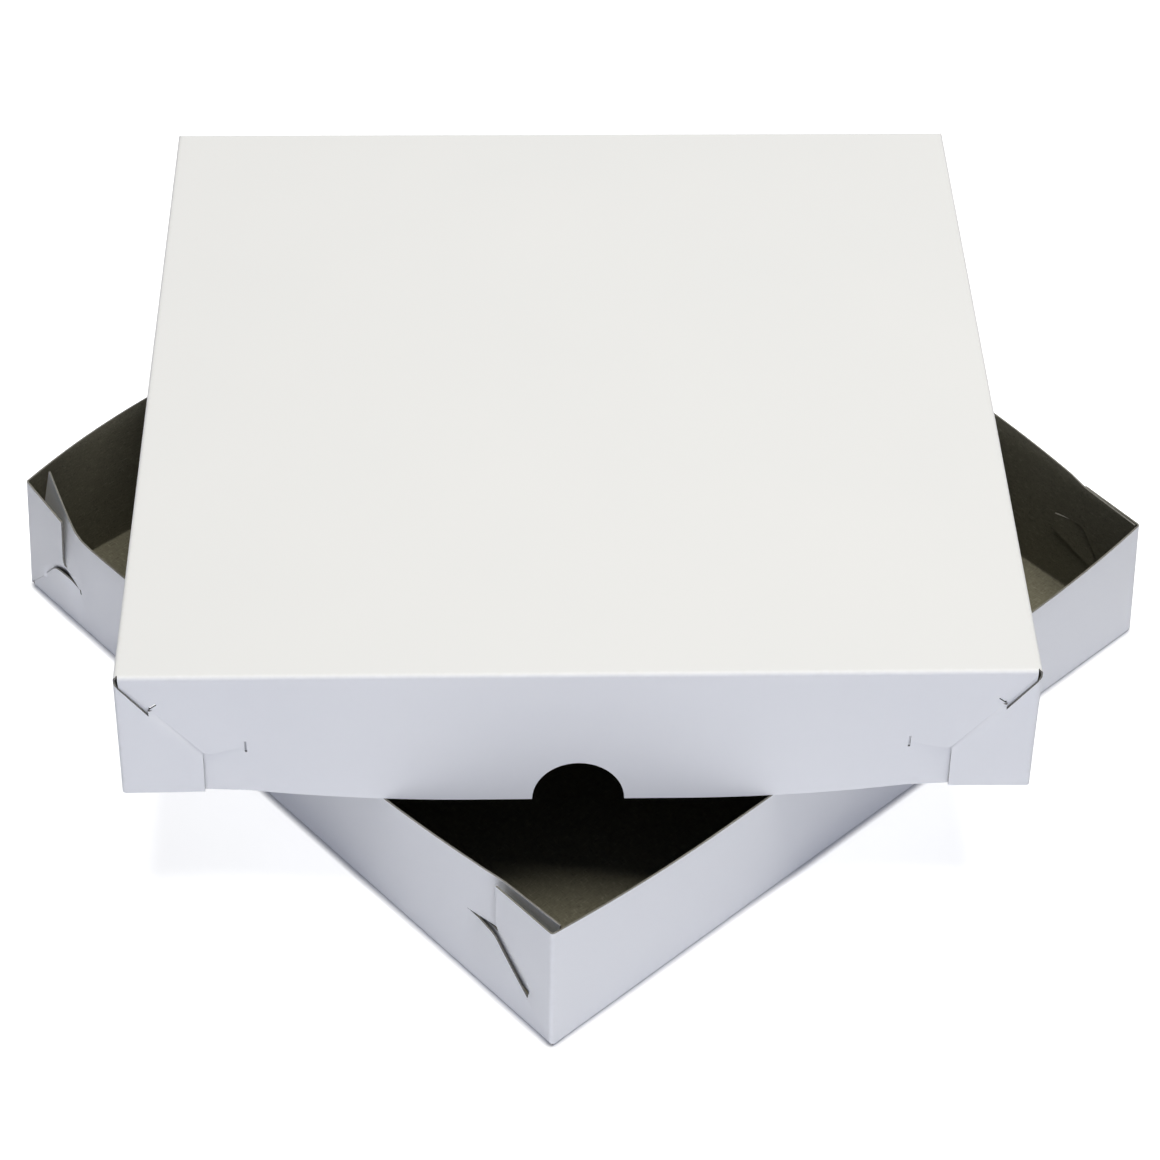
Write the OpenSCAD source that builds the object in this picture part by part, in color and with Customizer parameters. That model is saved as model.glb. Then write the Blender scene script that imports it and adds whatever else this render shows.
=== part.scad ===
// Two-piece cake box: a shallow tray and its lift-off lid, each folded from one sheet of
// coated card. The lid lies crosswise on the open tray, its free edges on the tray's rim.
// Every corner is closed without glue: a flap of the plain wall goes round the corner, lies
// on the locked wall and hooks its barbed tab through a bent slit to the inside.
// Origin: middle of the tray's underside. Millimetres, +Z up.

/* [Board] */
// Thickness of the card
board = 0.6; // [0.4:0.05:0.8]
// Outer radius of a fold
fold_r = 1.2; // [1:0.1:2]
// Gap between two layers of card that lie on each other
layer_gap = 0.2; // [0.1:0.05:0.4]

/* [Tray] */
// Outside width, over the corner flaps
tray_w = 280; // [180:1:420]
// Outside depth, over the plain walls
tray_d = 280; // [180:1:420]
// Outside height
tray_h = 50.5; // [44:0.5:80]
// How far each corner of the rim leans in
tray_lean = 2.6; // [0:0.1:4]
// How far the two near walls stand out at the middle of the rim
near_bow = 1.5; // [0:0.1:6]
// How far the two far walls stand out at the middle of the rim
far_bow = 6; // [0:0.1:8]

/* [Lid] */
// Outside height
lid_h = 49.5; // [44:0.5:80]
// Play on each side between the closed lid and the tray
lid_play = 0.8; // [0.4:0.1:2]
// How far each corner of the free edge stands out
lid_flare = 1.2; // [0:0.1:2]
// How far the locked walls stand out at the middle of the free edge
locked_bow = 6; // [0:0.1:8]
// How far the plain walls stand out at the middle of the free edge
plain_bow = 2; // [0:0.1:5]
// Radius of the thumb notch in the front free edge
notch_r = 14.5; // [8:0.5:20]

/* [Lid on the tray] */
// Turn of the lid, seen from above
lid_turn = -41.1; // [-52:0.1:-38]
// Shift of the lid along X
lid_x = 2.8; // [-12:0.1:12]
// Shift of the lid along Y
lid_y = 9.5; // [-12:0.1:12]

/* [Lock corners] */
// Length of the corner flap, which is also where the slit has its apex
flap_reach = 26; // [20:0.5:30]
// Height of the slit's apex above the panel
apex_z = 33; // [28:0.5:36]
// Distance of the slit's inner end from the corner
slit_reach = 39; // [36:0.5:46]
// Height of the slit's inner end above the panel
tail_z = 30; // [24:0.5:33]
// Width of the tray's slits, which their tabs pull open
tray_slit_w = 0.9; // [0.3:0.1:1.5]
// Width of the lid's slits
lid_slit_w = 0.3; // [0.2:0.1:1.5]
// Start of the tab, measured along the slit from the corner
tab_start = 16; // [12:0.5:20]
// Gap between the tray's flaps and the slit, along the flap's mitred edge
tray_mitre = 0.5; // [0.3:0.1:2]
// Gap between the lid's flaps and the slit, along the flap's mitred edge
lid_mitre = 1.3; // [0.3:0.1:2]
// Length of the stop across the inner end of the tray's slits
tray_stop = 2.5; // [2:0.5:6]
// Length of the stop across the inner end of the lid's slits
lid_stop = 4.5; // [2:0.5:6]
// Length of the hook at the start of the lid's slits
lid_hook = 3; // [2:0.5:4]
// Width of a stop and of a hook
stop_w = 0.7; // [0.5:0.1:1]
// Depth of the barb's end, measured down from the slit's inner end
barb_depth = 7; // [5:0.5:10]
// Width of the strip in which the tab dips through the slit
dip_run = 6; // [4:0.5:8]
// Inward turn of the free end at the tray's back corner, in degrees
tray_end_turn = 0.8; // [0.5:0.1:8]
// Inward turn of a free end of the lid's locked walls, in degrees
lid_end_turn = 2; // [0.5:0.1:8]
// Inward turn of the free end at the tray's front corner, in degrees
front_turn = 2.5; // [1:0.5:8]
// How far the locked wall leans in beside the front corner
front_lean = 3.4; // [0:0.1:4]
// How far the free end at the front corner steps back behind its flap
front_step = 1; // [0:0.1:2]
// How much further the front corner's tab is drawn through its slit
front_pull = 3; // [0:0.5:4]
// Inward turn of the free end at the tray's loose corner, in degrees
loose_turn = 20; // [8:0.5:22]
// Outward turn of the flap at the loose corner, in degrees
loose_flap = 7.5; // [0:0.5:8]
// How far the locked wall stands out beside the loose corner
loose_out = 3; // [0:0.1:4]
// How far the wall below the loose corner's slit bulges
loose_bulge = 4; // [0:0.1:6]
// Inward turn of the free end at the tray's right corner, in degrees
right_turn = 4.5; // [2:0.5:8]
// Outward turn of the flap at the right corner, in degrees
right_flap = 4; // [0:0.5:8]
// How far the locked wall stands out beside the right corner
right_out = 1.2; // [0:0.1:3]
// How far the free end at the right corner steps back behind its flap
right_step = 1; // [0:0.1:2]
// How far the wall below a slit of the tray stands out at the corner
tray_spread = 0.8; // [0.3:0.1:1.5]
// How far the wall below a slit of the lid stands out at the corner
lid_spread = 0.3; // [0.3:0.1:1.5]

/* [Hidden] */

white = "#f2f2f0";
layer = board + layer_gap;
// The lid goes over the tray with two layers of card and its play on each side
lid_rim = 2 * board + layer_gap + lid_play;
lid_w = tray_d + 2 * lid_rim;
lid_d = tray_w + 2 * lid_rim;
// Length over which a wall goes from its corner to its full bow
bow_run = 70;
mid_spans = 24;
arc_steps = 4;
// Free ends of the locked walls stop this far from the corner
end_gap = fold_r + layer_gap;
// The tab's root starts this far below the flap's face
tab_sink = 0.08;
// How far the flap and the tab's root lie over each other
root_lap = 0.7;
// Play of the tab behind the wall
tab_play = 0.3;
// Reach of cutting shapes past the card
past = 12;

leg_angle = atan2(apex_z - fold_r, flap_reach);
leg_length = norm([flap_reach, apex_z - fold_r]);
apex = [flap_reach, apex_z - fold_r];
tail = [slit_reach, tail_z - fold_r];

function ease(t) = let (c = min(max(t, 0), 1)) c * c * (3 - 2 * c);
function mix(a, b, t) = a * (1 - t) + b * t;
// Point at a distance along the slit's leg and at a distance up from it
function from_leg(along, up) =
    [along * cos(leg_angle) - up * sin(leg_angle), along * sin(leg_angle) + up * cos(leg_angle)];
// The same, the other way round
function to_leg(p) =
    [p.x * cos(leg_angle) + p.y * sin(leg_angle), p.y * cos(leg_angle) - p.x * sin(leg_angle)];
// Height of the slit above the fold at a distance from the corner
function slit_height(s) = s < flap_reach
    ? s * tan(leg_angle)
    : mix(apex.y, tail.y, (s - flap_reach) / (slit_reach - flap_reach));
// Rise of a bow: steep at the corner, level at its full height
function bend(t) = let (c = min(max(t, 0), 1)) c * (2 - c);
// Rim line of a bowed wall of the given length: from its first end, over the bow, to its last end
function rim_line(s, length, first, bow, last) =
    s < length / 2 ? mix(first, bow, bend(s / min(bow_run, length / 2)))
                   : mix(last, bow, bend((length - s) / min(bow_run, length / 2)));
// Bulge of the wall below a slit: none at the corner and at the slit's inner end, full at the apex
function hump(s) = s < flap_reach ? ease(s / flap_reach)
                                  : ease((slit_reach - s) / (slit_reach - flap_reach));

// A sheet of card ruled between a line at height low and a line at height high. Each station is
// [lower point, upper point, direction into the box], in plan, going round the box to the left.
module sheet(stations, low, high) {
    last = len(stations) - 1;
    points = [for (s = stations) each [
        [s[0].x, s[0].y, low],
        [s[1].x, s[1].y, high],
        [s[1].x + board * s[2].x, s[1].y + board * s[2].y, high],
        [s[0].x + board * s[2].x, s[0].y + board * s[2].y, low]
    ]];
    sides = [for (i = [0 : last - 1]) let (a = 4 * i, b = a + 4) each [
        [a, a + 1, b + 1], [a, b + 1, b],
        [a + 1, a + 2, b + 2], [a + 1, b + 2, b + 1],
        [b + 3, b + 2, a + 3], [b + 2, a + 2, a + 3],
        [a, b, b + 3], [a, b + 3, a + 3]
    ]];
    ends = [[3, 2, 1, 0], [for (k = [0 : 3]) 4 * last + k]];
    polyhedron(points, concat(sides, ends), convexity = 6);
}

// The quarter round where a wall leaves the panel, along X, its wall on the -Y side
module base_fold(length) {
    rotate([90, 0, 90])
        linear_extrude(length, center = true)
            intersection() {
                difference() {
                    circle(fold_r, $fn = 48);
                    circle(fold_r - board, $fn = 48);
                }
                translate([-fold_r, -fold_r])
                    square(fold_r);
            }
}

// A flat outline in the plane of the +X wall: its x runs from the -Y corner, its y up from the fold
module through_wall(w, d, outline) {
    translate([w / 2 - past, -d / 2, fold_r])
        rotate([90, 0, 90])
            linear_extrude(2 * past)
                polygon(outline);
}

// Barbed tab of the flap at the +X, -Y corner: it leaves the flap's inner face, dips through the
// slit and lies behind the wall
module tab(w, d, h, lean, turn, pull) {
    depth = 2 * layer + tab_play + flap_reach * tan(turn) / 2;
    top = dip_run / 2 + pull;
    outline = [
        [tab_start, top],
        [(flap_reach + top * sin(leg_angle)) / cos(leg_angle), top],
        [leg_length, 0],
        to_leg(tail - [layer, 0]),
        to_leg(tail - [layer, barb_depth]),
        [tab_start, 0]
    ];
    far = min([for (p = outline) p.y]) - past;
    profile = [
        [top, -tab_sink], [top - dip_run, -depth], [far, -depth],
        [far, -depth - board], [top - dip_run, -depth - board], [top, -tab_sink - board]
    ];
    translate([w / 2, fold_r - d / 2, fold_r])
        rotate([0, -atan(lean / (h - fold_r)), -turn])
            translate([0, -fold_r, 0])
                rotate([90, 0, 90])
                    rotate([0, 0, leg_angle])
                        intersection() {
                            linear_extrude(2 * past, center = true)
                                polygon(outline);
                            rotate([90, 0, 90])
                                linear_extrude(3 * leg_length, center = true)
                                    polygon(profile);
                        }
}

// What a flap at the +X, -Y corner loses below its mitred edge and the root of its tab
module below_flap(w, d, mitre, pull) {
    root = dip_run / 2 + pull - root_lap;
    through_wall(w, d, [
        [fold_r, -fold_r],
        [fold_r, (fold_r * sin(leg_angle) + mitre) / cos(leg_angle)],
        from_leg(tab_start, mitre),
        from_leg(tab_start, root),
        from_leg((flap_reach + past + root * sin(leg_angle)) / cos(leg_angle), root),
        [flap_reach + past, -fold_r]
    ]);
}

// Plain wall on the -Y side with the flaps at its two ends, left and right
module plain_wall(w, d, h, lean, bow, left, right, mitre) {
    run = w - 2 * fold_r;
    steps = [for (i = [0 : mid_spans]) i / mid_spans];
    turns = [for (i = [1 : arc_steps - 1]) 90 * i / arc_steps];
    r = fold_r;
    in = r + lean;
    left_out = (flap_reach - r) * tan(left[2]);
    right_out = (flap_reach - r) * tan(right[2]);
    left_flap = [
        [[-left_out - w / 2, flap_reach - d / 2],
         [lean - left_out - w / 2, flap_reach + lean - d / 2],
         [1, 0]],
        [[-w / 2, r - d / 2], [lean - w / 2, in - d / 2], [1, 0]]
    ];
    left_round = [for (a = turns) let (n = [cos(a), sin(a)])
        [[r - w / 2, r - d / 2] - r * n, [in - w / 2, in - d / 2] - r * n, n]];
    wall = [for (t = steps)
        [[(t - 0.5) * run, -d / 2],
         [(t - 0.5) * (run - 2 * lean), -d / 2 - rim_line(t * run, run, -lean, bow, -lean)],
         [0, 1]]];
    right_round = [for (a = turns) let (n = [-sin(a), cos(a)])
        [[w / 2 - r, r - d / 2] - r * n, [w / 2 - in, in - d / 2] - r * n, n]];
    right_flap = [
        [[w / 2, r - d / 2], [w / 2 - lean, in - d / 2], [-1, 0]],
        [[w / 2 + right_out, flap_reach - d / 2],
         [w / 2 - lean + right_out, flap_reach + lean - d / 2],
         [-1, 0]]
    ];
    difference() {
        sheet(concat(left_flap, left_round, wall, right_round, right_flap), fold_r, h);
        below_flap(w, d, mitre, right[4]);
        mirror([1, 0, 0])
            below_flap(w, d, mitre, left[4]);
    }
    tab(w, d, h, lean, right[2], right[4]);
    mirror([1, 0, 0])
        tab(w, d, h, lean, left[2], left[4]);
    translate([0, fold_r - d / 2, fold_r])
        base_fold(run);
}

// End of the locked +X wall at its -Y corner: the piece below the slit, and the free end above it,
// which turns in about the slit's edge
module locked_end(w, d, h, full_lean, end, cuts) {
    face = w / 2 - layer;
    lean = end[0];
    slit_w = cuts[0];
    hook_length = cuts[2];
    stop_length = cuts[3];
    spans = 6;
    places = [for (i = [0 : spans]) mix(end_gap, slit_reach, i / spans)];
    lower = [for (s = places) let (out = mix(cuts[4], -lean, s / slit_reach) + end[3] * hump(s))
        [[face, s - d / 2], [face + out, s - d / 2], [-1, 0]]];
    upper = [for (s = places) let (
            step = end[5] * ease((slit_reach - s) / (slit_reach - flap_reach)),
            in = tan(end[1]) * (slit_reach - s) + step,
            level = slit_height(s) / (h - fold_r),
            slide = max(full_lean, 0) * (1 - s / slit_reach))
        [[face + in * level / (1 - level), s - d / 2],
         [face - lean - in, s + slide - d / 2],
         [-1, 0]]];
    slit = [[0, 0], apex, tail];
    gap = [0, slit_w];
    above = [[slit_reach, 2 * h], [-past, 2 * h], [-past, 0]];
    hook = [for (p = [[-stop_w, layer], [-stop_w, -hook_length], [0, -hook_length], [0, layer]])
        from_leg(tab_start + p.x, p.y)];
    stop = [for (p = [[-stop_w, -0.5], [past, -0.5], [past, 0.5], [-stop_w, 0.5]])
        tail + [p.x, p.y * stop_length]];
    difference() {
        intersection() {
            sheet(lower, fold_r, h);
            through_wall(w, d, concat(slit, [[slit_reach, -fold_r], [0, -fold_r]]));
        }
        if (hook_length > 0) through_wall(w, d, hook);
        through_wall(w, d, stop);
    }
    difference() {
        intersection() {
            sheet(upper, fold_r, h);
            through_wall(w, d, concat([for (p = slit) p + gap], above));
        }
        through_wall(w, d, stop);
    }
}

// Locked wall on the +X side, from its -Y end to its +Y end
module locked_wall(w, d, h, lean, bow, first_end, last_end, cuts) {
    face = w / 2 - layer;
    run = d - 2 * slit_reach;
    middle = [for (i = [0 : mid_spans]) let (t = i / mid_spans, y = (t - 0.5) * run)
        [[face, y], [face + rim_line(t * run, run, -first_end[0], bow, -last_end[0]), y], [-1, 0]]];
    sheet(middle, fold_r, h);
    locked_end(w, d, h, lean, first_end, cuts);
    mirror([0, 1, 0])
        locked_end(w, d, h, lean, last_end, cuts);
    translate([face - fold_r, 0, fold_r])
        rotate([0, 0, 90])
            base_fold(d - 2 * end_gap);
}

// One folded sheet, open at the top. Bows are those of the -X, +X, -Y and +Y walls, and ends are
// the corners -X-Y, +X-Y, +X+Y and -X+Y, each [lean of the locked wall at the slit's end, inward turn
// of the wall's free end, outward turn of the flap, bulge of the wall below the slit, pull on the tab,
// step of the free end behind the flap]. Cuts are [width of the slits, gap at the flaps' mitres, length
// of the hooks, length of the stops, spread of the wall below the slits].
module folded_sheet(w, d, h, lean, bows, ends, cuts) {
    linear_extrude(board)
        square([2 * (w / 2 - layer - fold_r), d - 2 * fold_r], center = true);
    mirror([1, 0, 0])
        locked_wall(w, d, h, lean, bows[0], ends[0], ends[3], cuts);
    locked_wall(w, d, h, lean, bows[1], ends[1], ends[2], cuts);
    plain_wall(w, d, h, lean, bows[2], ends[0], ends[1], cuts[1]);
    mirror([0, 1, 0])
        plain_wall(w, d, h, lean, bows[3], ends[3], ends[2], cuts[1]);
}

module tray() {
    front = [front_lean, front_turn, 0, 0, front_pull, front_step];
    right = [-right_out, right_turn, right_flap, 0, 0, right_step];
    back = [tray_lean, tray_end_turn, 0, 0, 0, 0];
    loose = [-loose_out, loose_turn, loose_flap, loose_bulge, 0, 0];
    color(white)
        folded_sheet(tray_w, tray_d, tray_h, tray_lean, [near_bow, far_bow, near_bow, far_bow],
                     [front, right, back, loose], [tray_slit_w, tray_mitre, 0, tray_stop, tray_spread]);
}

module lid() {
    firm = [-lid_flare, lid_end_turn, 0, 0, 0, 0];
    color(white)
        translate([lid_x, lid_y, tray_h + lid_h])
            rotate([0, 0, lid_turn + 90])
                mirror([0, 0, 1])
                    difference() {
                        folded_sheet(lid_w, lid_d, lid_h, -lid_flare,
                                     [locked_bow, locked_bow, plain_bow, plain_bow],
                                     [firm, firm, firm, firm],
                                     [lid_slit_w, lid_mitre, lid_hook, lid_stop, lid_spread]);
                        translate([-lid_w / 2 - past, 0, lid_h])
                            rotate([0, 90, 0])
                                cylinder(r = notch_r, h = 2 * past, $fn = 96);
                    }
}

tray();
lid();
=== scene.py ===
# Two-piece cake box of coated card: the tray stands on the floor and the lid lies crosswise on it.
# Each is one sheet, folded up from its panel and hooked together at its four corners.
import math
from dataclasses import dataclass
from functools import cached_property

import bmesh
import bpy
from mathutils import Matrix, Vector


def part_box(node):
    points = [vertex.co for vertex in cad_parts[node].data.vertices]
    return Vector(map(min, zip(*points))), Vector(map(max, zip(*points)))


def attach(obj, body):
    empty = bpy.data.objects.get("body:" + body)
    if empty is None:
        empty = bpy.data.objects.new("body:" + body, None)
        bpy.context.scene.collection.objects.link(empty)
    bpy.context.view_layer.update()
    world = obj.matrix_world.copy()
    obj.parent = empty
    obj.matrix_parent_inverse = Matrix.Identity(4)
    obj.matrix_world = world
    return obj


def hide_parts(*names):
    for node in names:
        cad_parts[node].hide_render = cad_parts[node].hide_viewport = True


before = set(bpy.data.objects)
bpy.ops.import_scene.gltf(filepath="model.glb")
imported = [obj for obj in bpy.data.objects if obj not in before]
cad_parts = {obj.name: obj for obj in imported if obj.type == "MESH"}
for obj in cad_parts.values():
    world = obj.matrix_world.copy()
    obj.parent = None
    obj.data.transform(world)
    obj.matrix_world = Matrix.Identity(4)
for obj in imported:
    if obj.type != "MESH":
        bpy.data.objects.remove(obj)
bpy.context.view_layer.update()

# A sheet is folded in millimetres. A finished piece and all else are in metres.
MM = 0.001
# Two points closer than this are one
TINY = 0.01

# Card: thickness, outer radius of a fold, gap between two layers that lie on each other
BOARD = 0.6
FOLD_R = 1.2
LAYER_GAP = 0.2
LAYER = BOARD + LAYER_GAP
END_GAP = FOLD_R + LAYER_GAP

# Tray: outside width over the corner flaps
TRAY_WIDTH = 280.0
# Lid: play over the tray, and how much larger it is on each side
LID_PLAY = 0.8
LID_RIM = 2 * BOARD + LAYER_GAP + LID_PLAY
# Radius of the thumb notch, turn that brings it to the front, and turn of the lid on the tray
NOTCH_R = 14.5
NOTCH_TURN = 90.0
LID_TURN = -41.1
# Length of rim over which a bowed wall swings out
BOW_RUN = 70.0

# Lock corners, measured from the corner and up from the panel's fold
FLAP_REACH = 26.0
SLIT_REACH = 39.0
TAB_START = 16.0
BARB_DEPTH = 7.0
# Width of a hook's and a stop's cut, and how far a hook's cut reaches over into the slit
STOP_W = 0.7
HOOK_OVERCUT = 1.0
# Where a slit begins to open, and the share of its widest gap that it has at its ends
TAPER_START = 9.0
SLIT_TAPER = 0.15
# Share of a mitre's gap that it has at the corner
MITRE_TAPER = 0.4

# Mesh density: cells across the panel, rows up a wall, cells along a flap
PANEL_CELLS = 56
WALL_ROWS = 10
FLAP_CELLS = 8
# Steps round a fold, a notch and a slit's apex, and across the dip of a tab
FOLD_STEPS = 4
NOTCH_STEPS = 24
APEX_STEPS = 4
DIP_STEPS = 4
# Width of the flat strip of faces kept beside every fold
STRIP = 1.0
# Faces this near to a cut are sliced: past a slit's end, along and below a hook, at a stop,
# beside a notch
SLIT_MARGIN = 8.0
HOOK_MARGIN = 5.0
HOOK_FOOT = 9.0
STOP_MARGIN = 6.0
NOTCH_MARGIN = 6.0
# Edges bent more than this are shaded sharp
SHARP_ANGLE = math.radians(40)

# The two sides of an axis, and the four corners by their sides on X and Y
SIDES = (-1, 1)
CORNERS = [(x, y) for x in SIDES for y in SIDES]


def ease(t):
    """Rise from 0 to 1, level at both ends."""
    t = min(max(t, 0.0), 1.0)
    return t * t * (3 - 2 * t)


def bend(t):
    """Rise of a bow: steep at the corner, level at its full height."""
    t = min(max(t, 0.0), 1.0)
    return t * (2 - t)


def mix(a, b, t):
    return a * (1 - t) + b * t


@dataclass
class Corner:
    """Slit and stance of a lock corner.

    A wall point is the distance from the corner and the height above the panel's fold.
    """
    # Lean of the locked wall beside the slit's inner end
    lean: float
    # Free end of the wall: inward turn in degrees, step back behind the flap, softness of its bend
    end_turn: float
    end_step: float = 0.0
    end_soft: float = 0.0
    # 1 where the free end turns about the slit's edge, 0 where the tab pushes that edge in as well
    end_hinge: float = 0.0
    # Outward turn of the flap in degrees
    flap_turn: float = 0.0
    # How much further the tab is drawn through the slit, and its play behind the wall
    pull: float = 0.0
    tab_play: float = 0.3
    # Distances across and along the slit over which the tab goes from the flap to behind the wall
    dip_run: float = 6.0
    tab_shoulder: float = 1.5
    # Bulge of the wall below the slit
    bulge: float = 0.0
    # Slit: place of its apex, softness of its turn there, place of its inner end
    apex_reach: float = FLAP_REACH
    apex_z: float = 33.0
    apex_soft: float = 2.5
    tail_reach: float = SLIT_REACH
    tail_z: float = 30.0
    # Widest gap of the slit, and length of the stop across its inner end
    slit_w: float = 0.03
    stop: float = 0.0

    @cached_property
    def apex(self):
        return Vector((self.apex_reach, self.apex_z - FOLD_R))

    @cached_property
    def tail(self):
        return Vector((self.tail_reach, self.tail_z - FOLD_R))

    @cached_property
    def leg_angle(self):
        return math.atan2(self.apex.y, self.apex.x)

    @cached_property
    def slit_line(self):
        """Points of the slit from the corner over its rounded apex to its inner end."""
        before = self.apex * (1 - self.apex_soft / self.apex.length)
        after = self.apex + (self.tail - self.apex).normalized() * self.apex_soft
        steps = [k / APEX_STEPS for k in range(APEX_STEPS + 1)]
        turn = [mix(mix(before, self.apex, t), mix(self.apex, after, t), t) for t in steps]
        return [Vector((0, 0)), *turn, self.tail]

    def slit_height(self, s):
        for a, b in zip(self.slit_line, self.slit_line[1:]):
            if s < b.x:
                return mix(a.y, b.y, (s - a.x) / (b.x - a.x))
        return self.tail.y

    def gap(self, s):
        """Width of the slit, which tapers from its apex to both ends."""
        start = TAPER_START * math.cos(self.leg_angle)
        if s < self.apex.x:
            return self.slit_w * mix(SLIT_TAPER, 1, max(s - start, 0) / (self.apex.x - start))
        return self.slit_w * mix(1, SLIT_TAPER, (s - self.apex.x) / (self.tail.x - self.apex.x))

    def from_leg(self, along, up):
        """Wall point at a distance along the slit's leg and at a distance up from it."""
        c, s = math.cos(self.leg_angle), math.sin(self.leg_angle)
        return Vector((along * c - up * s, along * s + up * c))

    def to_leg(self, p):
        """Distances of a wall point along the slit's leg and up from it."""
        c, s = math.cos(self.leg_angle), math.sin(self.leg_angle)
        return Vector((p.x * c + p.y * s, p.y * c - p.x * s))

    def hump(self, s):
        """Bulge below the slit: none at the corner and at the inner end, full at the apex."""
        if s < self.apex.x:
            return ease(s / self.apex.x)
        return ease((self.tail.x - s) / (self.tail.x - self.apex.x))

    def turned_in(self, s):
        """How far the free end's rim is turned in."""
        run = SLIT_REACH - s
        step = self.end_step * ease(run / (SLIT_REACH - FLAP_REACH))
        soft_run = (run + math.hypot(run, self.end_soft)) / 2
        return math.tan(math.radians(self.end_turn)) * soft_run + step


@dataclass
class Sheet:
    """One folded sheet, in millimetres, standing on its panel with the open side up.

    The walls at the ends of Y are plain and carry the flaps. The walls at the ends of X are locked.
    """
    width: float
    depth: float
    height: float
    # Inward lean of the corner folds at the rim
    lean: float
    # How far each rim stands out in its middle, by axis and side, and the corners by their sides
    bows: dict
    corners: dict
    # Gap at the flaps' mitres, hook at the slits' starts, spread of the wall below a slit
    mitre: float
    hook: float
    spread: float
    notch: bool = False

    @property
    def panel(self):
        """Half of the flat panel between its folds."""
        return Vector((self.width / 2 - LAYER - FOLD_R, self.depth / 2 - FOLD_R))


# Folding: spins and extrusions of rows of edges


def border(bm, test):
    return [e for e in bm.edges if e.is_boundary and all(test(v.co) for v in e.verts)]


def fold(bm, edges, centre, axis):
    """Turns a row of edges a quarter round a fold line and gives the row that it ends in."""
    row = dict.fromkeys(v for e in edges for v in e.verts)
    made = bmesh.ops.spin(bm, geom=[*row, *edges], cent=centre, axis=axis, angle=math.pi / 2,
                          steps=FOLD_STEPS)
    return [g for g in made["geom_last"] if isinstance(g, bmesh.types.BMEdge)]


def extend(bm, edges, reach, cells):
    """Carries a row of edges on in a straight line."""
    for _ in range(cells):
        made = bmesh.ops.extrude_edge_only(bm, edges=edges)["geom"]
        row = {g for g in made if isinstance(g, bmesh.types.BMVert)}
        bmesh.ops.translate(bm, vec=reach / cells, verts=list(row))
        edges = [g for g in made if isinstance(g, bmesh.types.BMEdge) and row.issuperset(g.verts)]


def lay_panel(bm, sheet):
    made = bmesh.ops.create_grid(bm, x_segments=PANEL_CELLS, y_segments=PANEL_CELLS, size=1.0)
    bmesh.ops.scale(bm, vec=(*sheet.panel, 1.0), verts=made["verts"])
    bmesh.ops.reverse_faces(bm, faces=bm.faces[:])


def raise_wall(bm, sheet, axis, side):
    """Folds one wall up along the panel's side, with its ends at the corner folds."""
    half = sheet.panel[axis]
    outward = Vector((0, 0, 0))
    outward[axis] = side
    row = border(bm, lambda co: abs(co[axis] - side * half) < TINY and co.z < TINY)
    centre = outward * half + Vector((0, 0, FOLD_R))
    row = fold(bm, row, centre, Vector((0, 0, -1)).cross(outward))
    extend(bm, row, Vector((0, 0, sheet.height - FOLD_R)), WALL_ROWS)
    cross = 1 - axis
    reach = sheet.width / 2 - FOLD_R if axis == 1 else sheet.depth / 2 - END_GAP
    for v in bm.verts:
        if v.co[axis] * side > half + TINY and abs(v.co[cross]) > sheet.panel[cross] - TINY:
            v.co[cross] = math.copysign(reach, v.co[cross])


def add_flap(bm, sheet, side_x, side_y):
    """Carries a plain wall round its corner and along the locked wall."""
    x, y = side_x * (sheet.width / 2 - FOLD_R), side_y * sheet.depth / 2

    def at_end(co):
        return abs(co.x - x) < TINY and abs(co.y - y) < TINY and co.z > FOLD_R - TINY
    axis = Vector((0, side_y, 0)).cross(Vector((side_x, 0, 0)))
    end = fold(bm, border(bm, at_end), Vector((x, y - side_y * FOLD_R, 0)), axis)
    reach = sheet.corners[side_x, side_y].tail.x - LAYER - FOLD_R
    extend(bm, end, Vector((0, -side_y * reach, 0)), FLAP_CELLS)


# Cutting: planes through one layer of card, and faces taken out


def slice_faces(bm, faces, point, normal):
    geom = dict.fromkeys(g for f in faces for g in (f, *f.edges, *f.verts))
    bmesh.ops.bisect_plane(bm, geom=list(geom), dist=TINY, plane_co=point, plane_no=normal)


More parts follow.
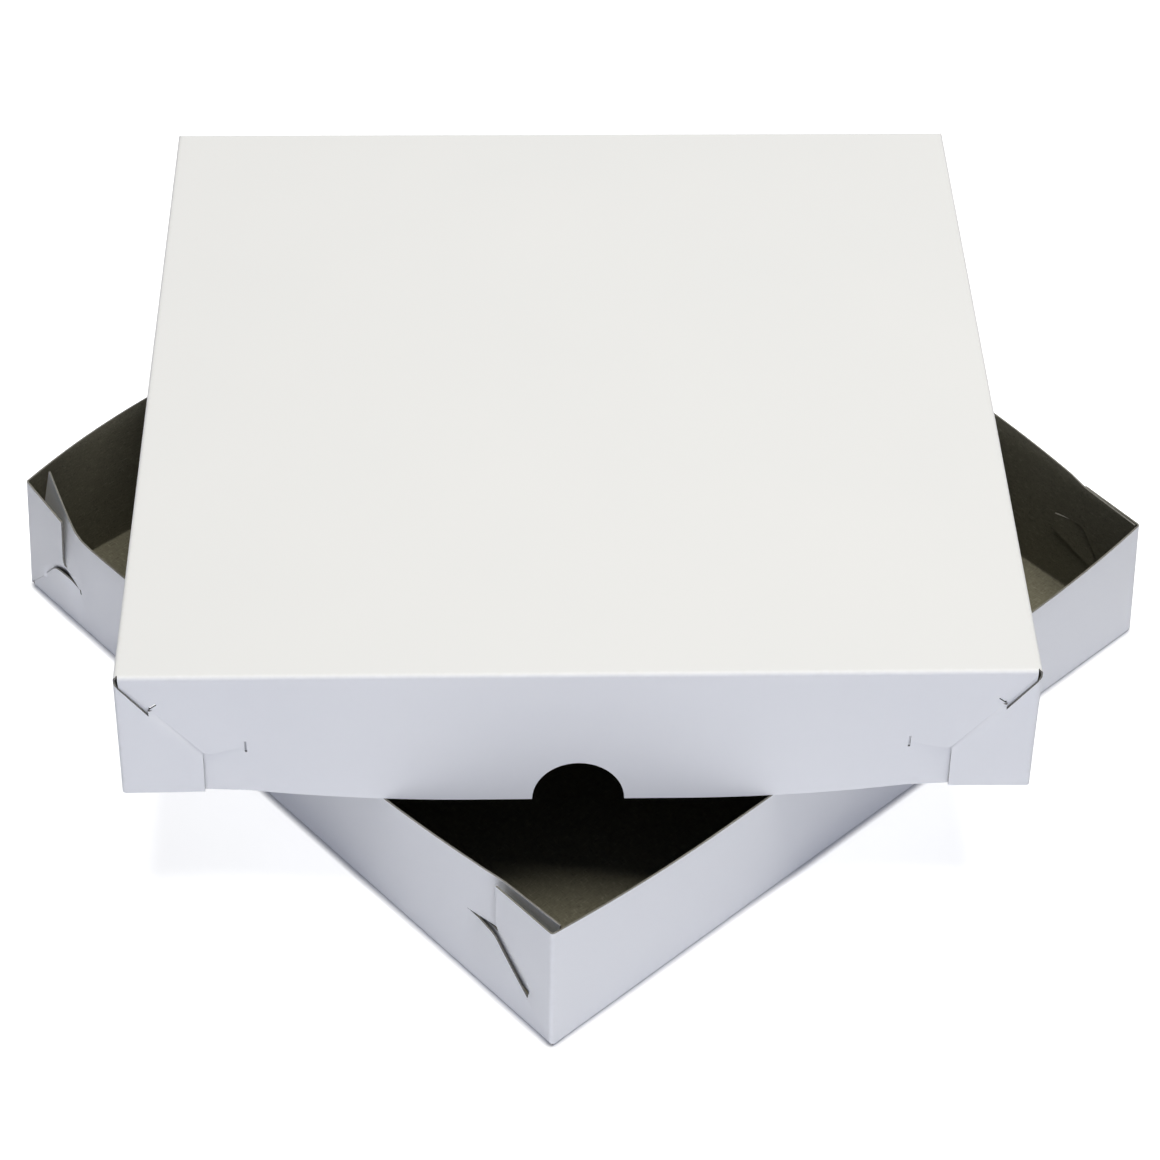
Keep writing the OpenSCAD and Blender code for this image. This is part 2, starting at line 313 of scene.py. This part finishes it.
class LockCorner:
    """The two layers of card at one corner, flap and locked wall, worked in wall points."""

    def __init__(self, bm, sheet, side_x, side_y):
        self.bm, self.sheet = bm, sheet
        self.side_x, self.side_y = side_x, side_y
        self.stance = sheet.corners[side_x, side_y]
        self.flap_face = sheet.width / 2
        self.wall_face = sheet.width / 2 - LAYER

    def point(self, co):
        """Wall point of a place on the sheet."""
        return Vector((self.sheet.depth / 2 - self.side_y * co.y, co.z - FOLD_R))

    def faces(self, layer, test):
        found = []
        for f in self.bm.faces:
            centre = f.calc_center_median()
            p = self.point(centre)
            in_layer = abs(centre.x * self.side_x - layer) < TINY
            if in_layer and FOLD_R < p.x < SLIT_REACH + SLIT_MARGIN and test(p):
                found.append(f)
        return found

    def cut(self, faces, a, b):
        """Cuts faces along the line from a to b."""
        start, end = (Vector((0, self.side_y * (self.sheet.depth / 2 - p.x), p.y + FOLD_R))
                      for p in (a, b))
        slice_faces(self.bm, faces, start, Vector((1, 0, 0)).cross(end - start))

    def slice(self, layer, a, b, test):
        """Cuts the faces of a layer that pass the test along the line from a to b."""
        self.cut(self.faces(layer, test), a, b)

    def drop(self, layer, test):
        bmesh.ops.delete(self.bm, geom=self.faces(layer, test), context="FACES")

    def window(self, layer, corners, near):
        """Cuts a small four-sided hole, slicing only the faces near it."""
        edges = list(zip(corners, corners[1:] + corners[:1]))
        for a, b in edges:
            self.slice(layer, a, b, near)

        def inside(p):
            turns = [(b - a).cross(p - a) for a, b in edges]
            return min(turns) > 0 or max(turns) < 0
        self.drop(layer, inside)

    def upright(self, layer, s):
        self.slice(layer, Vector((s, 0)), Vector((s, 1)), lambda p: True)

    def cut_slit(self):
        """The bent slit of the locked wall, the hook at its start and the stop at its inner end."""
        wall, stance = self.wall_face, self.stance
        tail, hook = stance.tail, self.sheet.hook

        def in_slit(p):
            return p.x < tail.x and 0 < p.y - stance.slit_height(p.x) < stance.gap(p.x)

        def by_hook(p):
            q = stance.to_leg(p)
            return abs(q.x - TAB_START) < HOOK_MARGIN and -HOOK_FOOT < q.y < 0

        def by_stop(p):
            return (p - tail).length < STOP_MARGIN and p.x < tail.x
        for a, b in zip(stance.slit_line, stance.slit_line[1:]):
            def between(p):
                return a.x < p.x < b.x
            self.upright(wall, b.x)
            self.slice(wall, a, b, between)
            upper = [p + Vector((0, stance.gap(p.x))) for p in (a, b)]
            self.slice(wall, *upper, between)
        self.drop(wall, in_slit)
        if hook > 0:
            ends = ((-STOP_W, HOOK_OVERCUT), (-STOP_W, -hook), (0, -hook), (0, HOOK_OVERCUT))
            self.window(wall, [stance.from_leg(TAB_START + a, u) for a, u in ends], by_hook)
        if stance.stop > 0:
            half = stance.stop / 2
            ends = ((-STOP_W, -half), (0, -half), (0, half), (-STOP_W, half))
            self.window(wall, [tail + Vector(p) for p in ends], by_stop)

    def trim_flap(self):
        """The flap's mitred edge, the barbed tab below it, and the rows of faces where it dips."""
        flap, mitre, stance = self.flap_face, self.sheet.mitre, self.stance
        apex = stance.apex
        tab_foot = stance.from_leg(TAB_START, 0)
        tip = stance.tail - Vector((LAYER, 0))
        barb = tip - Vector((0, BARB_DEPTH))
        hem, top = barb - tab_foot, tip - apex

        def on_mitre(p):
            return p.x < tab_foot.x

        def on_tab(p):
            return p.x > tab_foot.x

        def beyond(p):
            return p.x > FLAP_REACH

        def below_mitre(p):
            q = stance.to_leg(p)
            return on_mitre(p) and q.y < mitre * mix(MITRE_TAPER, 1, q.x / TAB_START)
        self.upright(flap, tab_foot.x)
        self.upright(flap, FLAP_REACH)
        mitre_start = stance.from_leg(0, MITRE_TAPER * mitre)
        self.slice(flap, mitre_start, stance.from_leg(TAB_START, mitre), on_mitre)
        self.slice(flap, tab_foot, barb, on_tab)
        self.slice(flap, apex, tip, beyond)
        self.drop(flap, below_mitre)
        self.drop(flap, lambda p: on_tab(p) and hem.cross(p - tab_foot) < 0)
        self.drop(flap, lambda p: beyond(p) and top.cross(p - apex) > 0)
        shoulder = TAB_START + stance.tab_shoulder
        self.slice(flap, stance.from_leg(shoulder, 0), stance.from_leg(shoulder, 1), on_tab)
        for k in range(DIP_STEPS + 1):
            up = stance.dip_run * (k / DIP_STEPS - 0.5) + stance.pull
            self.slice(flap, stance.from_leg(0, up), stance.from_leg(1, up), on_tab)

    def trim_round(self):
        """The mitred edge goes on round the corner fold."""
        gap, stance = MITRE_TAPER * self.sheet.mitre, self.stance

        def round_faces():
            for f in self.bm.faces:
                centre = f.calc_center_median()
                above_fold = FOLD_R < centre.z and 0 < self.point(centre).x < FOLD_R
                if above_fold and self.sheet.width / 2 - FOLD_R < centre.x * self.side_x:
                    yield f

        def below(f):
            return stance.to_leg(self.point(f.calc_center_median())).y < gap
        self.cut(list(round_faces()), stance.from_leg(0, gap), stance.from_leg(1, gap))
        cut_off = [f for f in round_faces() if below(f)]
        bmesh.ops.delete(self.bm, geom=cut_off, context="FACES")


def cut_notch(bm, sheet):
    """Half-round thumb notch in the -X wall: columns at even steps of its arc, drawn down to it."""
    face = sheet.width / 2 - LAYER

    def by_notch(co):
        return abs(co.x + face) < TINY and abs(co.y) < NOTCH_R + NOTCH_MARGIN
    for k in range(NOTCH_STEPS + 1):
        y = NOTCH_R * math.cos(math.pi * k / NOTCH_STEPS)
        middle = [f for f in bm.faces if by_notch(f.calc_center_median())]
        slice_faces(bm, middle, Vector((0, y, 0)), Vector((0, 1, 0)))
    for v in bm.verts:
        if abs(v.co.x + face) < TINY and abs(v.co.y) < NOTCH_R and v.co.z > FOLD_R:
            top = sheet.height - math.sqrt(NOTCH_R ** 2 - v.co.y ** 2)
            v.co.z = mix(FOLD_R, top, (v.co.z - FOLD_R) / (sheet.height - FOLD_R))


def keep_strips(bm, sheet):
    """A narrow strip of faces beside every fold, so that the rounding stays at the fold."""
    for axis in (0, 1):
        for side in SIDES:
            normal = Vector((0, 0, 0))
            normal[axis] = side
            slice_faces(bm, bm.faces[:], normal * (sheet.panel[axis] - STRIP), normal)
    slice_faces(bm, bm.faces[:], Vector((0, 0, FOLD_R + STRIP)), Vector((0, 0, 1)))


def mark_folds(bm, sheet):
    """Writes 1 to the points that lie on a fold and 0 to the others."""
    mark = bm.verts.layers.float.new("fold")
    for v in bm.verts:
        x, y = abs(v.co.x), abs(v.co.y)
        off_panel = x > sheet.panel.x - TINY or y > sheet.panel.y - TINY
        at_base = v.co.z < FOLD_R + TINY and off_panel
        at_corner = x > sheet.width / 2 - FOLD_R - TINY and y > sheet.depth / 2 - FOLD_R - TINY
        v[mark] = float(at_base or at_corner)


# Settling: the squarely folded sheet takes its real stance. Along a wall, s is the distance from
# the corner, and t is the share of the wall's height.


def rim_line(s, length, first, bow, last):
    """Rim of a bowed wall: from its first end, over the bow, to its last end."""
    run = min(BOW_RUN, length / 2)
    if s < length / 2:
        return mix(first, bow, bend(s / run))
    return mix(last, bow, bend((length - s) / run))


def below_slit(sheet, corner, s):
    """How far the wall below a slit stands out, as it would at the rim's height."""
    return mix(sheet.spread, -corner.lean, s / SLIT_REACH) + corner.bulge * corner.hump(s)


def sides_of(co):
    return math.copysign(1, co.x), math.copysign(1, co.y)


def settle_corner_fold(sheet, co, t):
    """A corner fold leans towards the middle."""
    side_x, side_y = sides_of(co)
    lean = sheet.lean * t
    return co - Vector((side_x * lean, side_y * lean, 0))


def settle_plain_wall(sheet, co, t):
    """A plain wall bows between its corner folds and keeps to their lean."""
    side_y = sides_of(co)[1]
    lean = sheet.lean * t
    run = 2 * (sheet.width / 2 - FOLD_R)
    bow = rim_line(co.x + run / 2, run, -sheet.lean, sheet.bows[1, side_y], -sheet.lean)
    return Vector((co.x * (1 - 2 * lean / run), side_y * (sheet.depth / 2 + bow * t), co.z))


def settle_flap(sheet, co, s, t):
    """A flap turns out from its corner fold, and its tab dips through the slit."""
    side_x, side_y = sides_of(co)
    corner = sheet.corners[side_x, side_y]
    lean = sheet.lean * t
    turned_out = (s - FOLD_R) * math.tan(math.radians(corner.flap_turn))
    q = corner.to_leg(Vector((s, co.z - FOLD_R)))
    across = ease(0.5 - (q.y - corner.pull) / corner.dip_run)
    along = ease((q.x - TAB_START) / corner.tab_shoulder)
    behind_wall = 2 * LAYER + corner.tab_play - t * below_slit(sheet, corner, s)
    inward = mix(lean - turned_out, behind_wall, across * along)
    return co - Vector((side_x * inward, side_y * lean, 0))


def settle_locked_wall(sheet, co, s, t):
    """A locked wall stands out below its slits, bows between them and turns in at its free ends."""
    side_x, side_y = sides_of(co)
    corner = sheet.corners[side_x, side_y]
    slit = corner.slit_height(s)
    if s < SLIT_REACH and co.z - FOLD_R < slit + corner.gap(s) / 2:
        return co + Vector((side_x * t * below_slit(sheet, corner, s), 0, 0))
    level = corner.end_hinge * slit / (sheet.height - FOLD_R)
    inward = corner.turned_in(s) * max(t - level, 0) / (1 - level)
    slide = max(sheet.lean, 0) * max(1 - s / SLIT_REACH, 0) * t
    run = sheet.depth - 2 * SLIT_REACH
    first, last = (-sheet.corners[side_x, end].lean for end in SIDES)
    bow = rim_line(co.y + run / 2, run, first, sheet.bows[0, side_x], last)
    return co + Vector((side_x * (bow * t - inward), -side_y * slide, 0))


def settle(sheet, co):
    """Takes a place on the squarely folded sheet to its place in the real stance."""
    if co.z < FOLD_R + TINY:
        return co
    s = sheet.depth / 2 - abs(co.y)
    t = (co.z - FOLD_R) / (sheet.height - FOLD_R)
    if s < TINY and abs(co.x) < sheet.width / 2 - FOLD_R + TINY:
        return settle_plain_wall(sheet, co, t)
    if s < FOLD_R + TINY:
        return settle_corner_fold(sheet, co, t)
    if abs(co.x) > sheet.width / 2 - LAYER / 2:
        return settle_flap(sheet, co, s, t)
    return settle_locked_wall(sheet, co, s, t)


def fold_sheet(sheet):
    """The outer face of one sheet, folded, locked and settled."""
    bm = bmesh.new()
    lay_panel(bm, sheet)
    for axis in (0, 1):
        for side in SIDES:
            raise_wall(bm, sheet, axis, side)
    for side_x, side_y in CORNERS:
        add_flap(bm, sheet, side_x, side_y)
    keep_strips(bm, sheet)
    for side_x, side_y in CORNERS:
        corner = LockCorner(bm, sheet, side_x, side_y)
        corner.cut_slit()
        corner.trim_flap()
        corner.trim_round()
    if sheet.notch:
        cut_notch(bm, sheet)
    mark_folds(bm, sheet)
    for v in bm.verts:
        v.co = settle(sheet, v.co.copy())
    return bm


def mesh_of(name, bm):
    mesh = bpy.data.meshes.new(name)
    bm.to_mesh(mesh)
    bm.free()
    return mesh


def add_object(name, data):
    made = bpy.data.objects.new(name, data)
    bpy.context.scene.collection.objects.link(made)
    return made


def make_piece(name, node, bm, card_sides):
    """Gives the sheet its thickness and hangs it on the frame in place of the CAD node."""
    face = mesh_of(name, bm)
    for material in card_sides:
        face.materials.append(material)
    piece = add_object(name, face)
    card = piece.modifiers.new("card", "SOLIDIFY")
    card.thickness = BOARD * MM
    card.offset = -1
    card.material_offset = 1
    card.material_offset_rim = 2
    depsgraph = bpy.context.evaluated_depsgraph_get()
    thick = bpy.data.meshes.new_from_object(piece.evaluated_get(depsgraph))
    piece.modifiers.clear()
    piece.data = thick
    bpy.data.meshes.remove(face)
    thick.name = name
    thick.shade_smooth()
    thick.set_sharp_from_angle(angle=SHARP_ANGLE)
    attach(piece, "root")
    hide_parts(node)


# Materials: patterns are in metres, so a scale of 1000 gives grains of a millimetre

# Each pair goes from the duller to the brighter patches
COAT_COLOURS = (0.831, 0.845, 0.872), (0.841, 0.853, 0.879)
COAT_RUBBED = (0.62, 0.61, 0.58)
PULP_COLOURS = (0.140, 0.133, 0.098), (0.165, 0.157, 0.118)
PULP_RUBBED = (0.24, 0.225, 0.185)
PALE_FLECK = (0.27, 0.258, 0.21)
DARK_FLECK = (0.085, 0.08, 0.06)
EDGE_COLOURS = (0.15, 0.147, 0.135), (0.27, 0.265, 0.245)
PAPER_COLOURS = (0.71, 0.72, 0.765), (0.73, 0.74, 0.785)
# Values of a pattern between which the finish changes: wide patches, rubbed spots on a fold,
# sheen of the coat, pale and dark flecks of the pulp, streaks of a cut edge
CLOUD_SPAN = (0.3, 0.7)
RUBBED_SPAN = (0.42, 0.66)
SHEEN_SPAN = (0.35, 0.8)
PALE_SPAN = (0.58, 0.78)
DARK_SPAN = (0.50, 0.36)
STREAK_SPAN = (0.4, 0.75)
# Roughness of the coat, and of the bare pulp
COAT_ROUGHNESS = (0.50, 0.62)
PULP_ROUGHNESS = 0.95
# Stretch of the two layers of fibres, which lie across each other
FIBRE_STRETCH = (1.0, 0.22, 0.7), (0.22, 1.0, 1.0)
# Floor: its own glow, and the distance and strength of the painted contact shadow, a dark line
# where the glow fades by the tray's foot
FLOOR_GLOW = 0.82
CONTACT_SHADOW_RUN = 0.0025
CONTACT_SHADOW_POWER = 3.0
CONTACT_SHADOW_SAMPLES = 8
# Sockets of a colour mix
MIX_FACTOR, MIX_A, MIX_B, MIX_RESULT = 0, 6, 7, 2


def give(tree, socket, value):
    """Gives a socket a plain value, or links it to the output of another node."""
    if isinstance(value, bpy.types.NodeSocket):
        tree.links.new(value, socket)
    else:
        socket.default_value = value


def feed(tree, node, **values):
    """Gives values to input sockets by name, with _ for a space."""
    for name, value in values.items():
        give(tree, node.inputs[name.replace("_", " ")], value)


def add_node(tree, kind, **values):
    made = tree.nodes.new(kind)
    feed(tree, made, **values)
    return made


def own_place(tree):
    return tree.nodes.new("ShaderNodeTexCoord").outputs["Object"]


def noise(tree, place, scale, detail, roughness=0.5):
    return add_node(tree, "ShaderNodeTexNoise", Vector=place, Scale=scale, Detail=detail,
                    Roughness=roughness).outputs["Fac"]


def remap(tree, value, span, to=(0.0, 1.0)):
    """Maps a span of values to another one."""
    return add_node(tree, "ShaderNodeMapRange", Value=value, From_Min=span[0], From_Max=span[1],
                    To_Min=to[0], To_Max=to[1]).outputs["Result"]


def blend(tree, factor, a, b):
    """Mixes two colours, each a plain colour or the colour of another node."""
    made = tree.nodes.new("ShaderNodeMix")
    made.data_type = "RGBA"
    give(tree, made.inputs[MIX_FACTOR], factor)
    for socket, colour in ((made.inputs[MIX_A], a), (made.inputs[MIX_B], b)):
        give(tree, socket, (*colour, 1) if isinstance(colour, tuple) else colour)
    return made.outputs[MIX_RESULT]


def math_node(tree, operation, a, b):
    made = tree.nodes.new("ShaderNodeMath")
    made.operation = operation
    for socket, value in zip(made.inputs, (a, b)):
        give(tree, socket, value)
    return made.outputs["Value"]


def relief(tree, height, strength, depth):
    """Normal of a fine relief, its depth in metres."""
    return add_node(tree, "ShaderNodeBump", Height=height, Strength=strength,
                    Distance=depth).outputs["Normal"]


def new_group(name, inputs, outputs):
    """An empty node group with its sockets. Inputs are given with their defaults."""
    group = bpy.data.node_groups.new(name, "ShaderNodeTree")
    kind = "NodeSocketFloat"
    for socket, value in inputs.items():
        made = group.interface.new_socket(socket, in_out="INPUT", socket_type=kind)
        made.default_value = value
    for socket in outputs:
        group.interface.new_socket(socket, in_out="OUTPUT", socket_type=kind)
    return group, group.nodes.new("NodeGroupInput").outputs, group.nodes.new("NodeGroupOutput")


def card_fibre_group():
    """Paper fibres that lie in two directions, and the wide, faint cloudiness of the board."""
    group, given, result = new_group("card_fibre", {"Fibre Scale": 900.0}, ("Fibre", "Cloud"))
    place = own_place(group)
    layers = []
    for stretch in FIBRE_STRETCH:
        drawn = add_node(group, "ShaderNodeMapping", Vector=place, Scale=stretch).outputs["Vector"]
        layers.append(noise(group, drawn, given["Fibre Scale"], detail=5.0, roughness=0.62))
    feed(group, result, Fibre=math_node(group, "MAXIMUM", *layers),
         Cloud=noise(group, place, scale=16.0, detail=4.0))
    return group


def fold_wear_group():
    """Where the card is rubbed and cracked along its folds."""
    group, given, result = new_group("fold_wear", {"Amount": 0.5}, ("Wear",))
    fold_line = group.nodes.new("ShaderNodeAttribute")
    fold_line.attribute_name = "fold"
    specks = noise(group, own_place(group), scale=420.0, detail=6.0, roughness=0.65)
    patches = remap(group, specks, RUBBED_SPAN)
    rubbed = math_node(group, "MULTIPLY", fold_line.outputs["Fac"], patches)
    feed(group, result, Wear=math_node(group, "MULTIPLY", rubbed, given["Amount"]))
    return group


card_fibre = card_fibre_group()
fold_wear = fold_wear_group()


def add_group(tree, group, **values):
    made = tree.nodes.new("ShaderNodeGroup")
    made.node_tree = group
    feed(tree, made, **values)
    return made.outputs


def new_material(name, **values):
    """A material with plain values on its shader."""
    material = bpy.data.materials.new(name)
    material.use_nodes = True
    tree = material.node_tree
    shader = tree.nodes["Principled BSDF"]
    feed(tree, shader, **values)
    return material, tree, shader


def coated_white_card():
    """Clay-coated outside: smooth and white with a low sheen, cloudy, greyer along the folds."""
    material, tree, shader = new_material("coated_white", Specular_IOR_Level=0.35)
    fibre = add_group(tree, card_fibre, Fibre_Scale=700.0)
    wear = add_group(tree, fold_wear, Amount=0.1)
    coat = blend(tree, remap(tree, fibre["Cloud"], CLOUD_SPAN), *COAT_COLOURS)
    feed(tree, shader,
         Base_Color=blend(tree, wear["Wear"], coat, COAT_RUBBED),
         Roughness=remap(tree, fibre["Fibre"], SHEEN_SPAN, to=COAT_ROUGHNESS),
         Normal=relief(tree, fibre["Fibre"], strength=0.12, depth=0.0001))
    return material


def grey_back_card():
    """Uncoated inside of recycled fibre: olive grey with dark and pale flecks, dull."""
    material, tree, shader = new_material("grey_back", Roughness=PULP_ROUGHNESS,
                                          Specular_IOR_Level=0.2)
    fibre = add_group(tree, card_fibre, Fibre_Scale=1900.0)
    wear = add_group(tree, fold_wear, Amount=0.25)
    pulp = blend(tree, remap(tree, fibre["Cloud"], CLOUD_SPAN), *PULP_COLOURS)
    flecked = blend(tree, remap(tree, fibre["Fibre"], PALE_SPAN), pulp, PALE_FLECK)
    specked = blend(tree, remap(tree, fibre["Fibre"], DARK_SPAN), flecked, DARK_FLECK)
    feed(tree, shader,
         Base_Color=blend(tree, wear["Wear"], specked, PULP_RUBBED),
         Normal=relief(tree, fibre["Fibre"], strength=0.35, depth=0.0002))
    return material


def cut_edge_card():
    """Cut edge of the board: grey pulp in thin streaks."""
    material, tree, shader = new_material("cut_edge", Roughness=PULP_ROUGHNESS,
                                          Specular_IOR_Level=0.2)
    fibre = add_group(tree, card_fibre, Fibre_Scale=1800.0)
    feed(tree, shader,
         Base_Color=blend(tree, remap(tree, fibre["Fibre"], STREAK_SPAN), *EDGE_COLOURS),
         Normal=relief(tree, fibre["Fibre"], strength=0.4, depth=0.0001))
    return material


def pale_floor_paper():
    """Seamless white paper that looks evenly white and throws little light back on the card. Its
    glow fades where the tray touches it, a painted contact shadow.
    """
    material, tree, shader = new_material("pale_floor", Roughness=0.9, Specular_IOR_Level=0.1,
                                          Emission_Color=(1.0, 1.0, 1.0, 1.0))
    seen = tree.nodes.new("ShaderNodeLightPath").outputs["Is Camera Ray"]
    contact_shadow = add_node(tree, "ShaderNodeAmbientOcclusion", Distance=CONTACT_SHADOW_RUN)
    contact_shadow.samples = CONTACT_SHADOW_SAMPLES
    # Painted contact shadow: ambient occlusion dims the glow next to the tray's foot
    clear = math_node(tree, "POWER", contact_shadow.outputs["AO"], CONTACT_SHADOW_POWER)
    glow = math_node(tree, "MULTIPLY", seen, clear)
    cloud = remap(tree, noise(tree, own_place(tree), scale=3.0, detail=2.0), CLOUD_SPAN)
    feed(tree, shader,
         Base_Color=blend(tree, cloud, *PAPER_COLOURS),
         Emission_Strength=math_node(tree, "MULTIPLY", glow, FLOOR_GLOW))
    return material


# The two sheets


def make_tray(card_sides):
    low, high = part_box("tray")
    front = Corner(lean=3.4, end_turn=2.5, end_step=1.0, pull=3.0, tab_play=1.0, bulge=1.5,
                   apex_reach=28.0, apex_z=29.5, tail_reach=42.0, tail_z=28.6, slit_w=0.7)
    right = Corner(lean=-1.2, end_turn=4.3, end_step=1.3, flap_turn=3.4, tab_play=-0.1)
    back = Corner(lean=2.6, end_turn=0.8)
    loose = Corner(lean=-3.0, end_turn=20.0, end_soft=6.8, end_hinge=1.0, flap_turn=7.5,
                   tab_play=1.6, tab_shoulder=4.0, bulge=4.0, apex_z=29.5, apex_soft=7.0,
                   tail_reach=35.0, tail_z=21.5, slit_w=0.9, stop=2.5)
    sheet = Sheet(
        width=TRAY_WIDTH, depth=TRAY_WIDTH, height=(high.z - low.z) / MM, lean=2.6,
        bows={(0, -1): 1.5, (0, 1): 6.0, (1, -1): 1.5, (1, 1): 6.0},
        corners={(-1, -1): front, (1, -1): right, (1, 1): back, (-1, 1): loose},
        mitre=0.2, hook=0.0, spread=0.8)
    bm = fold_sheet(sheet)
    bmesh.ops.scale(bm, vec=(MM, MM, MM), verts=bm.verts)
    make_piece("tray_card", "tray", bm, card_sides)


def make_lid(card_sides):
    """The lid is folded as the tray is, then turned over and laid crosswise on it."""
    low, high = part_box("lid")
    width = TRAY_WIDTH + 2 * LID_RIM
    corner = Corner(lean=-1.2, end_turn=3.0, flap_turn=-0.8, pull=-0.6, dip_run=4.0, bulge=1.0,
                    slit_w=0.05, stop=4.5)
    sheet = Sheet(
        width=width, depth=width, height=(high.z - low.z) / MM, lean=-1.2,
        bows={(0, -1): 6.0, (0, 1): 6.0, (1, -1): 2.0, (1, 1): 2.0},
        corners=dict.fromkeys(CORNERS, corner),
        mitre=1.3, hook=3.0, spread=0.3, notch=True)
    bm = fold_sheet(sheet)
    centre = (low + high) / 2
    turned_over = (Matrix.Translation((centre.x, centre.y, high.z))
                   @ Matrix.Rotation(math.radians(LID_TURN + NOTCH_TURN), 4, "Z")
                   @ Matrix.Diagonal((MM, MM, -MM, 1)))
    bmesh.ops.transform(bm, matrix=turned_over, verts=bm.verts)
    bmesh.ops.reverse_faces(bm, faces=bm.faces[:])
    make_piece("lid_card", "lid", bm, card_sides)


# Floor, light and camera

FLOOR_HALF = 20.0
SKY_COLOUR = (0.72, 0.77, 1.0, 1.0)
SKY_STRENGTH = 0.12
# Camera: turn round the part, height above the horizon and roll in degrees
CAMERA_TURN, CAMERA_RISE, CAMERA_ROLL = -43.2036, 43.7197, 1.0557
# What it looks at and from how far, in metres, then its lens and sensor in millimetres
CAMERA_TARGET = Vector((-0.0203, -0.0220, 0.042))
CAMERA_DISTANCE = 1.0383
CAMERA_LENS = 93.98
CAMERA_SENSOR = 36.0


def lay_floor():
    bm = bmesh.new()
    bmesh.ops.create_grid(bm, x_segments=1, y_segments=1, size=FLOOR_HALF)
    mesh = mesh_of("floor", bm)
    mesh.materials.append(pale_floor_paper())
    floor = add_object("floor", mesh)


def dim_sky():
    world = bpy.data.worlds.new("studio")
    world.use_nodes = True
    tree = world.node_tree
    feed(tree, tree.nodes["Background"], Color=SKY_COLOUR, Strength=SKY_STRENGTH)
    bpy.context.scene.world = world


def softbox(name, place, aim, size, watts, colour):
    light = bpy.data.lights.new(name, "AREA")
    light.shape = "RECTANGLE"
    light.size, light.size_y = size
    light.energy = watts
    light.color = colour
    lamp = add_object(name, light)
    lamp.location = place
    lamp.rotation_euler = (Vector(aim) - Vector(place)).to_track_quat("-Z", "Y").to_euler()


def set_camera():
    turn, rise, roll = (math.radians(a) for a in (CAMERA_TURN, CAMERA_RISE, CAMERA_ROLL))
    level = math.cos(rise)
    back = Vector((math.sin(turn) * level, -math.cos(turn) * level, math.sin(rise)))
    data = bpy.data.cameras.new("camera")
    data.lens = CAMERA_LENS
    data.sensor_width = CAMERA_SENSOR
    camera = add_object("camera", data)
    camera.location = CAMERA_TARGET + back * CAMERA_DISTANCE
    camera.rotation_mode = "QUATERNION"
    rolled = Matrix.Rotation(roll, 3, "Z").to_quaternion()
    camera.rotation_quaternion = back.to_track_quat("Z", "Y") @ rolled
    bpy.context.scene.camera = camera


card_sides = (coated_white_card(), grey_back_card(), cut_edge_card())
make_tray(card_sides)
make_lid(card_sides)
lay_floor()
dim_sky()
# A wide box straight above, and low strips near the floor that keep out of the open tray
softbox("overhead", place=(0.12, -0.12, 2.1), aim=(0, 0, 0), size=(1.2, 1.2), watts=41.5,
        colour=(1.0, 0.97, 0.875))
softbox("front_strip", place=(-1.28, -1.52, 0.13), aim=(0, 0, 0.07), size=(1.6, 0.15), watts=14.4,
        colour=(0.885, 0.905, 1.0))
softbox("back_strip", place=(1.4, 1.4, 0.13), aim=(0, 0, 0.07), size=(1.6, 0.15), watts=9.0,
        colour=(0.92, 0.94, 1.0))
bpy.context.scene.view_settings.view_transform = "Standard"
set_camera()
